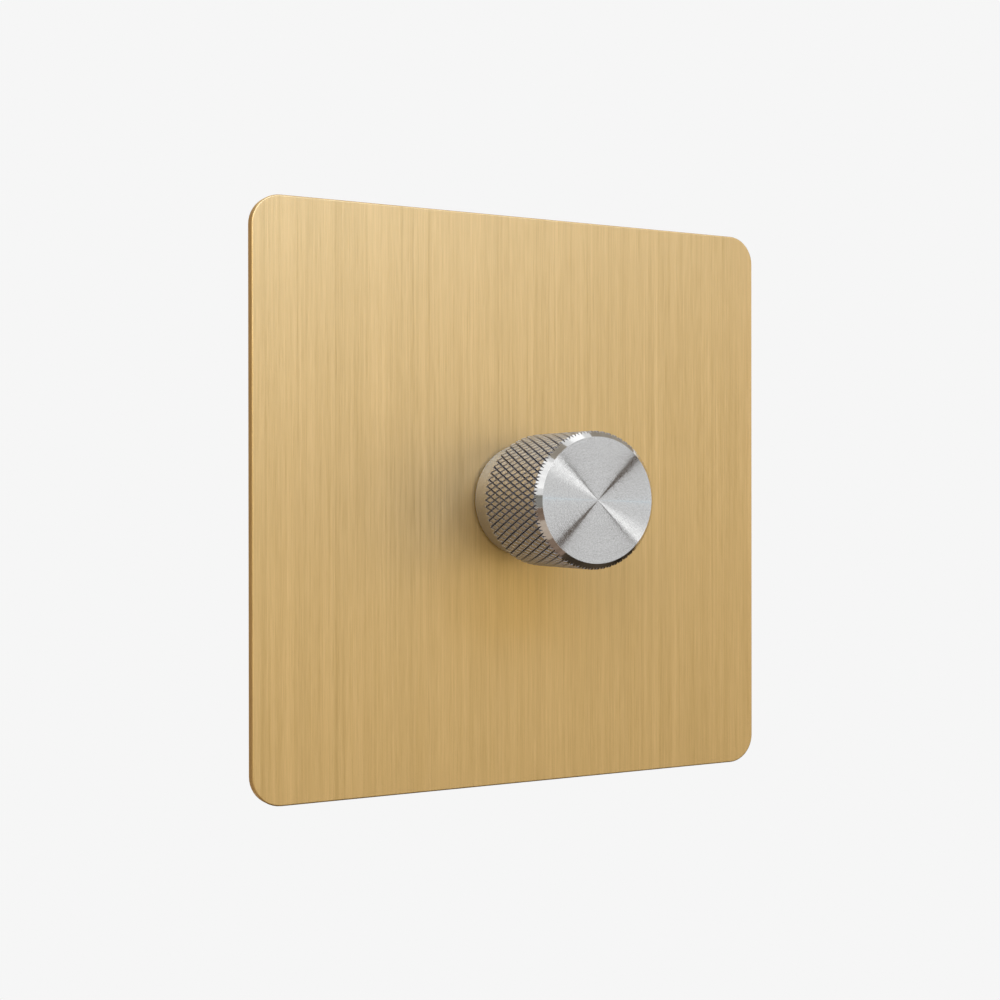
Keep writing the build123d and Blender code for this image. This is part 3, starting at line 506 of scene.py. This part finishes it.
def make_sheet(name, colour, roughness):
    """Rolled or plated sheet: faint straight grain and slow clouds."""
    smoothest, roughest = roughness - 0.06, roughness + 0.08
    spread, grain_depth_mm, size = 0.10, 0.008, 4000.0
    material, tree = start_material(name)
    grain = add_node(tree, "ShaderNodeGroup", node_tree=grain_group).outputs["Grain"]
    clouds = add_node(tree, "ShaderNodeGroup", {"Size": size}, node_tree=moulded_group).outputs["Cloud"]
    tone = weigh(tree, clouds, 0.5, grain)
    set_principled(tree, {
        "Base Color": mix_colour(tree, remap(tree, tone, *calm_range), *two_tones(colour, spread)),
        "Metallic": 1.0,
        "Roughness": remap(tree, tone, *calm_range, smoothest, roughest),
        "Normal": relief(tree, grain, grain_depth_mm),
    })
    return material


sheet_finishes = {
    "plated_steel": ((0.62, 0.63, 0.64), 0.32),
    "contact_brass": ((0.75, 0.6, 0.32), 0.28),
    "heat_aluminium": ((0.74, 0.75, 0.76), 0.36),
}
for name, values in sheet_finishes.items():
    finishes[name] = make_sheet(name, *values)
print("sheet finishes", len(sheet_finishes))

# %% [markdown]
# ## Turned and drawn metal behind the plate
#
# The bush, the spindle and the screws are turned, and the springs and windings are drawn wire. A turning
# tool leaves rings that follow one another along the axis, so the noise here changes with the depth from
# the wall, and a fine speckle breaks it up.

# %% Make the turned finishes


def make_turned(name, colour, roughness):
    """A turned or drawn surface: rings along the knob's axis, with a fine speckle."""
    smoothest, roughest = roughness - 0.05, roughness + 0.07
    spread, ring_depth_mm = 0.10, 0.006
    rings_per_metre, specks_per_metre, ring_share = 7000.0, 3000.0, 0.6
    material, tree = start_material(name)
    place = object_place(tree)
    depth = add_node(tree, "ShaderNodeSeparateXYZ", {"Vector": place}).outputs["Y"]
    rings = line_noise(tree, calc(tree, "MULTIPLY", depth, rings_per_metre), 3.0)
    tone = weigh(tree, rings, ring_share, noise(tree, place, specks_per_metre, 2.0))
    set_principled(tree, {
        "Base Color": mix_colour(tree, remap(tree, tone, *calm_range), *two_tones(colour, spread)),
        "Metallic": 1.0,
        "Roughness": remap(tree, tone, *calm_range, smoothest, roughest),
        "Normal": relief(tree, tone, ring_depth_mm),
    })
    return material


turned_finishes = {
    "spring_steel": ((0.46, 0.46, 0.47), 0.3),
    "turned_brass": ((0.72, 0.55, 0.27), 0.22),
    "shaft_steel": ((0.6, 0.6, 0.59), 0.2),
    "black_steel": ((0.06, 0.06, 0.06), 0.38),
    "copper_wire": ((0.6, 0.25, 0.1), 0.25),
}
for name, values in turned_finishes.items():
    finishes[name] = make_turned(name, *values)
print("turned finishes", len(turned_finishes))

# %% [markdown]
# ## Dress the pieces
#
# Each CAD node already carries the name of its finish in the record, so dressing the pieces is one loop.
# It replaces whatever material a node came with, and the node itself stays where it is.

# %% Give every node its finish
slot_of = {part["node"]: part["material_slot"] for part in frame["record"]["subparts"]}
for name, node in frame["nodes"].items():
    node.data.materials.clear()
    node.data.materials.append(finishes[slot_of[name]])
print("nodes dressed", len(slot_of), "with", len(finishes), "finishes")

# %% [markdown]
# ## Three finishes on one knob
#
# The knob is one turned piece, so its finishes are told apart by where its polygons look. Those that look
# straight out of the wall are the face, and those close behind the face that lean by about 45 degrees are
# the chamfer. Sorting them by direction needs no list of polygons, so it still holds on a changed knob.

# %% Give the knob's face and chamfer their own
FACE, CHAMFER = 1, 2
face_look = -0.99
chamfer_low, chamfer_high = -0.75, -0.6
chamfer_depth = 1.0 * mm
knob = frame["nodes"]["knob"]
knob.data.materials.append(face_finish)
knob.data.materials.append(chamfer_finish)
for side in knob.data.polygons:
    if side.normal.y < face_look:
        side.material_index = FACE
    elif side.center.y - knob_face < chamfer_depth and chamfer_low < side.normal.y < chamfer_high:
        side.material_index = CHAMFER
slots = [side.material_index for side in knob.data.polygons]
print("knob face", slots.count(FACE), "chamfer", slots.count(CHAMFER), "of", len(slots))

# %% [markdown]
# ## The return spring
#
# The spring under the contact bridge is the one piece that changes shape: it shortens when the knob is
# pressed. A spring is a round wire wound on a mandrel and ground flat at both ends, so a ring of wire is
# spun and moved along the axis at the same time, and what stands past the two seats is pressed flat.

# %% Wind the return spring
spring_front, spring_back = (corner.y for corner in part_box("return_spring"))
coil_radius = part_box("return_spring")[1].x
wire_radius, wire_sides = 0.2 * mm, 12
coil_turns, steps_per_turn = 2.5, 48
ground_off = 0.1 * mm
rise = spring_back - spring_front - 2 * (wire_radius - ground_off)
steps = int(coil_turns * steps_per_turn)

coil = bmesh.new()
wire = bmesh.ops.create_circle(coil, segments=wire_sides, radius=wire_radius)["verts"]
wire_start = (coil_radius - wire_radius, spring_front + wire_radius - ground_off, 0)
bmesh.ops.translate(coil, verts=wire, vec=wire_start)
bmesh.ops.spin(
    coil, geom=coil.verts[:] + coil.edges[:], cent=(0, 0, 0), axis=(0, 1, 0),
    dvec=(0, rise / steps, 0), angle=coil_turns * math.tau, steps=steps)
bmesh.ops.holes_fill(coil, edges=[edge for edge in coil.edges if edge.is_boundary], sides=0)
bmesh.ops.recalc_face_normals(coil, faces=coil.faces)
for vert in coil.verts:
    vert.co.y = min(max(vert.co.y, spring_front), spring_back)
# Only the round of the wire is made of faces with four corners, so only they are shaded smooth.
for side in coil.faces:
    side.smooth = len(side.verts) == 4
print("spring", round((spring_back - spring_front) / mm, 2), "mm long,", len(coil.faces), "faces")

# %% [markdown]
# ## Put the spring in place
#
# The coil stands in the switch and takes the place of the plain one from the CAD model. It is attached to
# the switch's body, its back end on the floor of the cup.

# %% Put the spring in its place


def to_object(name, shape, material):
    """Turn a finished bmesh into an object of the scene, with one material."""
    mesh = bpy.data.meshes.new(name)
    shape.to_mesh(mesh)
    shape.free()
    mesh.materials.append(material)
    made = bpy.data.objects.new(name, mesh)
    bpy.context.scene.collection.objects.link(made)
    return made


spring = to_object("return_coil", coil, finishes["spring_steel"])
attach(spring, "switch")
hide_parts("return_spring")
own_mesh(spring)

# %% [markdown]
# ## The pale ground
#
# The photograph has no wall and no table, only an even pale ground. The world gives that pale colour to
# the camera and to whatever the metal mirrors. As soft light it gives a quarter less, which keeps the
# matt pieces from washing out.

# %% Set the world
pale = 0.9216
soft_share = 0.75


def grey(value):
    """A grey colour."""
    return (value, value, value, 1.0)


def pale_strength(tree):
    """Full strength where the camera, a mirror or glass looks at it, less as soft light."""
    rays = add_node(tree, "ShaderNodeLightPath").outputs
    mirrored = calc(tree, "MAXIMUM", rays["Is Camera Ray"], rays["Is Glossy Ray"])
    direct = calc(tree, "MAXIMUM", mirrored, rays["Is Transmission Ray"])
    return remap(tree, direct, 0.0, 1.0, soft_share, 1.0)


world = bpy.data.worlds.new("studio")
bpy.context.scene.world = world
world.use_nodes = True
sky_tree = world.node_tree
sky_tree.nodes.clear()
sky = add_node(sky_tree, "ShaderNodeBackground", {"Color": grey(pale), "Strength": pale_strength(sky_tree)})
sky_tree.links.new(sky.outputs[0], sky_tree.nodes.new("ShaderNodeOutputWorld").inputs["Surface"])
print("world", world.name, "pale", pale)

# %% [markdown]
# ## The floor
#
# A pale floor lies well below the object, where a photographer's paper sweep would be. Close by it is
# matt paint with a faint glow that takes the object's shadow, and further out it turns into the same even
# pale as the world, so no edge shows.

# %% Lay the floor
floor_level, floor_size = -0.30, 40
near_edge, far_edge = 0.30, 0.62


def make_floor_paint():
    """Matt pale paint that turns into an even glow further out."""
    paint_grey, paint_roughness, faint_glow = 0.9, 0.8, 0.24
    material, tree = start_material("floor_paint")
    paint = add_node(tree, "ShaderNodeBsdfPrincipled", {
        "Base Color": grey(paint_grey), "Roughness": paint_roughness,
        "Emission Color": grey(pale), "Emission Strength": faint_glow})
    flat = vector_calc(tree, "MULTIPLY", {0: object_place(tree), 1: (1, 1, 0)})
    distance = add_node(tree, "ShaderNodeVectorMath", {0: flat}, operation="LENGTH").outputs["Value"]
    even = add_node(tree, "ShaderNodeEmission", {"Color": grey(pale), "Strength": pale_strength(tree)})
    far_out = remap(tree, distance, near_edge, far_edge)
    set_surface(tree, add_node(
        tree, "ShaderNodeMixShader", {0: far_out, 1: paint.outputs[0], 2: even.outputs[0]}))
    return material


def make_card(name, centre, aim, width, height, material):
    """A flat card round a centre that faces a point."""
    shape = bmesh.new()
    bmesh.ops.create_grid(shape, x_segments=1, y_segments=1, size=0.5)
    bmesh.ops.scale(shape, vec=(width, height, 1), verts=shape.verts)
    turn = (Vector(aim) - Vector(centre)).to_track_quat("Z", "Y").to_matrix()
    bmesh.ops.rotate(shape, cent=(0, 0, 0), matrix=turn, verts=shape.verts)
    bmesh.ops.translate(shape, vec=centre, verts=shape.verts)
    return to_object(name, shape, material)


floor = make_card("floor", (0, 0, floor_level), (0, 0, 1), floor_size, floor_size, make_floor_paint())
print("floor at", floor_level)

# %% [markdown]
# ## Lamps
#
# Directions in the room are given as seen from the knob: a turn to the side, 0 straight in front and 90
# to the right, and a height above the horizon. The plate and the rest are lit by lamps of their own, as a
# photographer flags a light off one part of the product. A wide cool window above the plate makes its
# highlight at the top, a warm fill comes from the left, and a small key lights everything else.

# %% Set the lamps
knob_middle = Vector((0, knob_face, 0))
lamp_distance = 0.9


def toward(side, height):
    """A unit vector from its turn to the side and its height, in degrees."""
    turn, lift = math.radians(side), math.radians(height)
    return Vector((math.sin(turn) * math.cos(lift), -math.cos(turn) * math.cos(lift), math.sin(lift)))


def falls_only_on(light, names):
    """Let this light or glowing card reach only these CAD nodes."""
    group = bpy.data.collections.new(light.name + "_falls_on")
    for node_name in names:
        group.objects.link(frame["nodes"][node_name])
    light.light_linking.receiver_collection = group


def make_lamp(name, direction, size, radiance, colour, only):
    """A rectangular area lamp that faces the knob, its brightness given as radiance."""
    data = bpy.data.lights.new(name, "AREA")
    data.shape = "RECTANGLE"
    data.size, data.size_y = size
    data.energy = radiance * math.pi * size[0] * size[1]
    data.color = colour
    lamp = bpy.data.objects.new(name, data)
    bpy.context.scene.collection.objects.link(lamp)
    lamp.location = knob_middle + toward(*direction) * lamp_distance
    lamp.rotation_euler = (-toward(*direction)).to_track_quat("-Z", "Y").to_euler()
    lamp.visible_camera = False
    falls_only_on(lamp, only)
    return lamp


others = [name for name in frame["nodes"] if name != "front_plate"]
lamps = [
    make_lamp("window", (-6, 38), (0.9, 0.4), 13.5, (0.22, 0.385, 1.0), ["front_plate"]),
    make_lamp("left_fill", (-40, 28), (0.6, 0.6), 3.5, (1.0, 0.94, 0.65), ["front_plate"]),
    make_lamp("key", (-20, 36), (0.3, 0.3), 6.0, (1.0, 0.99, 0.98), others),
]
print("lamps", [lamp.name for lamp in lamps])

# %% [markdown]
# ## Papers for the cards
#
# What a polished edge mirrors is shaped with cards of paper. Here each paper glows by itself, so its
# brightness doesn't depend on the lamps, and a slow noise keeps it from being perfectly even. One of them
# fades: it turns clear where the attribute "fade" of its card goes to 0, which gives a reflection one
# sharp edge and one soft edge.

# %% Make the papers


def make_paper(name, low, high, fading=False):
    """Glowing paper of two colours mixed by a slow noise."""
    material, tree = start_material(name)
    cloud_scale, cloud_detail = 6.0, 2.0
    cloud = add_node(tree, "ShaderNodeTexNoise", {"Scale": cloud_scale, "Detail": cloud_detail})
    amount = remap(tree, cloud.outputs["Fac"], *calm_range)
    colour = mix_colour(tree, amount, low + (1,), high + (1,))
    paper = add_node(tree, "ShaderNodeEmission", {"Color": colour})
    if fading:
        fade = add_node(tree, "ShaderNodeAttribute", attribute_name="fade").outputs["Fac"]
        clear = add_node(tree, "ShaderNodeBsdfTransparent")
        paper = add_node(tree, "ShaderNodeMixShader", {0: fade, 1: clear.outputs[0], 2: paper.outputs[0]})
    set_surface(tree, paper)
    return material


paper_colours = {
    "grey_brown": ((0.33, 0.29, 0.24), (0.41, 0.37, 0.31)),
    "brown": ((0.20, 0.14, 0.10), (0.28, 0.20, 0.15)),
    "black": ((0.02, 0.015, 0.01), (0.08, 0.06, 0.04)),
    "tan": ((0.50, 0.41, 0.33), (0.60, 0.50, 0.41)),
    "dark_grey": ((0.24, 0.23, 0.20), (0.30, 0.29, 0.27)),
    "white": ((1.3, 1.3, 1.3), (1.55, 1.55, 1.55)),
    "umber": ((0.12, 0.09, 0.07), (0.16, 0.125, 0.10)),
    "soft_white": ((1.1, 1.1, 1.1), (1.3, 1.3, 1.3)),
    "fading_white": ((1.62, 1.62, 1.62), (1.8, 1.8, 1.8), True),
    "pale_blue": ((0.95, 1.1, 1.2), (1.0, 1.15, 1.25)),
}
papers = {name: make_paper(name, *values) for name, values in paper_colours.items()}
print("papers", len(papers))

# %% [markdown]
# ## Cards round the knob
#
# The polished chamfer scans the whole room, so each zone that shows on it in the photograph is a card
# there: grey-brown above, a bright softbox overhead and another at the left, and brown to black below.
# A card that looks large from the knob is given by the directions of its corners, and those that lie
# flat below the knob by their reach along x and y. Only mirror-like rays see the cards.

# %% Hang the cards
patch_distance, below_level = 0.7, -0.26


def stage_card(card):
    """Hide a card from everything but mirror-like rays."""
    card.visible_camera = False
    card.visible_diffuse = False
    card.visible_shadow = False
    return card


def make_patch(name, corners, paper):
    """A card whose corners are directions seen from the knob."""
    shape = bmesh.new()
    verts = [shape.verts.new(knob_middle + toward(*corner) * patch_distance) for corner in corners]
    bmesh.ops.contextual_create(shape, geom=verts)
    return stage_card(to_object(name, shape, paper))


patches = [
    ("above_behind", [(84, 64), (122, 64), (128, 18), (100, 24)], "grey_brown"),
    ("above_left", [(-85, 52), (-30, 52), (0, 74), (-80, 74)], "grey_brown"),
    ("overhead", [(140, 79), (76, 66), (-30, 83), (-120, 84)], "white"),
    ("left_window", [(-85, 14), (-48, 14), (-48, 49), (-85, 49)], "soft_white"),
    ("left_level", [(-95, -8), (-45, -8), (-45, 6), (-95, 6)], "dark_grey"),
    ("left_low", [(-100, -26), (-40, -26), (-40, -8), (-95, -8)], "brown"),
    ("back_left", [(-178, -40), (-118, -40), (-118, 40), (-178, 40)], "brown"),
]
flat_cards = [
    ("under", (-0.05, 0.75), (-0.30, 0.45), "black"),
    ("under_left", (-0.19, -0.05), (-0.35, 0.25), "brown"),
    ("under_far_left", (-0.50, -0.19), (-0.45, 0.15), "tan"),
]
cards = {name: make_patch(name, corners, papers[paper]) for name, corners, paper in patches}
for name, (x_low, x_high), (y_low, y_high), paper in flat_cards:
    x_middle, y_middle = (x_low + x_high) / 2, (y_low + y_high) / 2
    centre, aim = (x_middle, y_middle, below_level), (x_middle, y_middle, 0)
    cards[name] = stage_card(make_card(name, centre, aim, x_high - x_low, y_high - y_low, papers[paper]))
print("cards", len(cards))

# %% [markdown]
# ## Strips that draw the wedges
#
# Every groove wall of the spun face is a small mirror that leans along its radius. Along one diameter
# these mirrors look at one curve through the room, so a narrow strip hung along that curve fills exactly
# that diameter, and grows into a wedge where the strip flares towards its ends. Four strips make the
# marks of the photograph: a wide dark wedge, a bright wedge with one soft side, the thin dark line
# beside it and a faint bluish line across.

# %% Hang the strips


def face_mirror(azimuth, tilt):
    """Where the face sends the camera's ray when a groove wall leans by this tilt towards an azimuth."""
    view = (camera.location - knob_middle).normalized()
    around, lean = math.radians(azimuth), math.radians(tilt)
    up, right = math.cos(around) * math.sin(lean), math.sin(around) * math.sin(lean)
    facet = Vector((right, -math.cos(lean), up))
    return 2 * view.dot(facet) * facet - view


def make_strip(name, azimuth, half_width, flare, paper, distance=0.75, fade=(1.0, 1.0)):
    """A card along the curve that one diameter of the spun face mirrors, wider towards its ends."""
    widest_tilt, tilt_step = 44, 2
    shape = bmesh.new()
    rows = []
    fades = []
    for tilt in range(-widest_tilt, widest_tilt, tilt_step):
        here = face_mirror(azimuth, tilt)
        ahead = face_mirror(azimuth, tilt + 1)
        reach = math.radians(half_width + flare * abs(tilt))
        across = here.cross(ahead - here).normalized() * math.tan(reach)
        rows.append([shape.verts.new(knob_middle + (here + side * across) * distance) for side in (-1, 1)])
        fades.extend(fade if tilt > 0 else reversed(fade))
    for first, second in zip(rows, rows[1:]):
        shape.faces.new((first[0], first[1], second[1], second[0]))
    card = stage_card(to_object(name, shape, papers[paper]))
    card.data.attributes.new("fade", "FLOAT", "POINT").data.foreach_set("value", fades)
    return card


cards["dark_strip"] = make_strip("dark_strip", 46, 0.5, 0.075, "umber")
cards["bright_strip"] = make_strip("bright_strip", -57, 0.5, 0.24, "fading_white", fade=(1.0, 0.0))
cards["thin_dark_strip"] = make_strip("thin_dark_strip", -43, 0.3, 0.0, "black", distance=0.72)
cards["thin_bright_strip"] = make_strip("thin_bright_strip", 92, 0.1, 0.01, "pale_blue")

# Light from these bright cards would also streak the plate, so they fall only on the knob.
for name in ("left_window", "bright_strip", "thin_bright_strip"):
    falls_only_on(cards[name], ["knob"])
print("cards and strips", len(cards))
